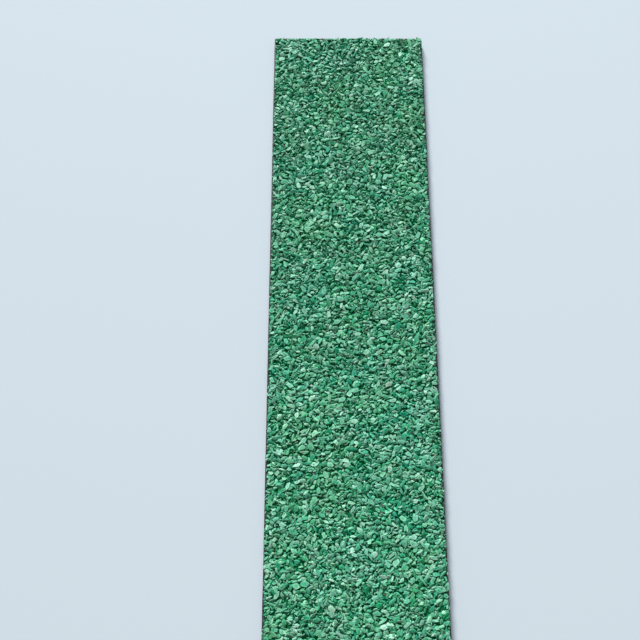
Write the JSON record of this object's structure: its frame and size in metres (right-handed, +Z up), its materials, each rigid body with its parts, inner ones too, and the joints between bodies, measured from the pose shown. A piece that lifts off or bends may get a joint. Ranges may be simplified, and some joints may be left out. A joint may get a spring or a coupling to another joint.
{
  "type": "mineral-surfaced roofing felt sheet",
  "caption": "Flat rectangular strip of bitumen roofing felt, knife-cut on all sides, its upper face covered with pressed-in green slate flakes.",
  "frame": {"origin": "middle of the underside, on the surface the sheet lies on", "axes": "+X across the strip, +Y along it towards its far end in the picture, +Z up through the slate face"},
  "size_m": [0.06, 0.3, 0.0042],
  "materials": {
    "bitumen": "matte",
    "slate": "matte"
  },
  "bodies": {
    "root": {"bitumen_sheet": "bitumen", "slate_surfacing": "slate"}
  },
  "joints": []
}
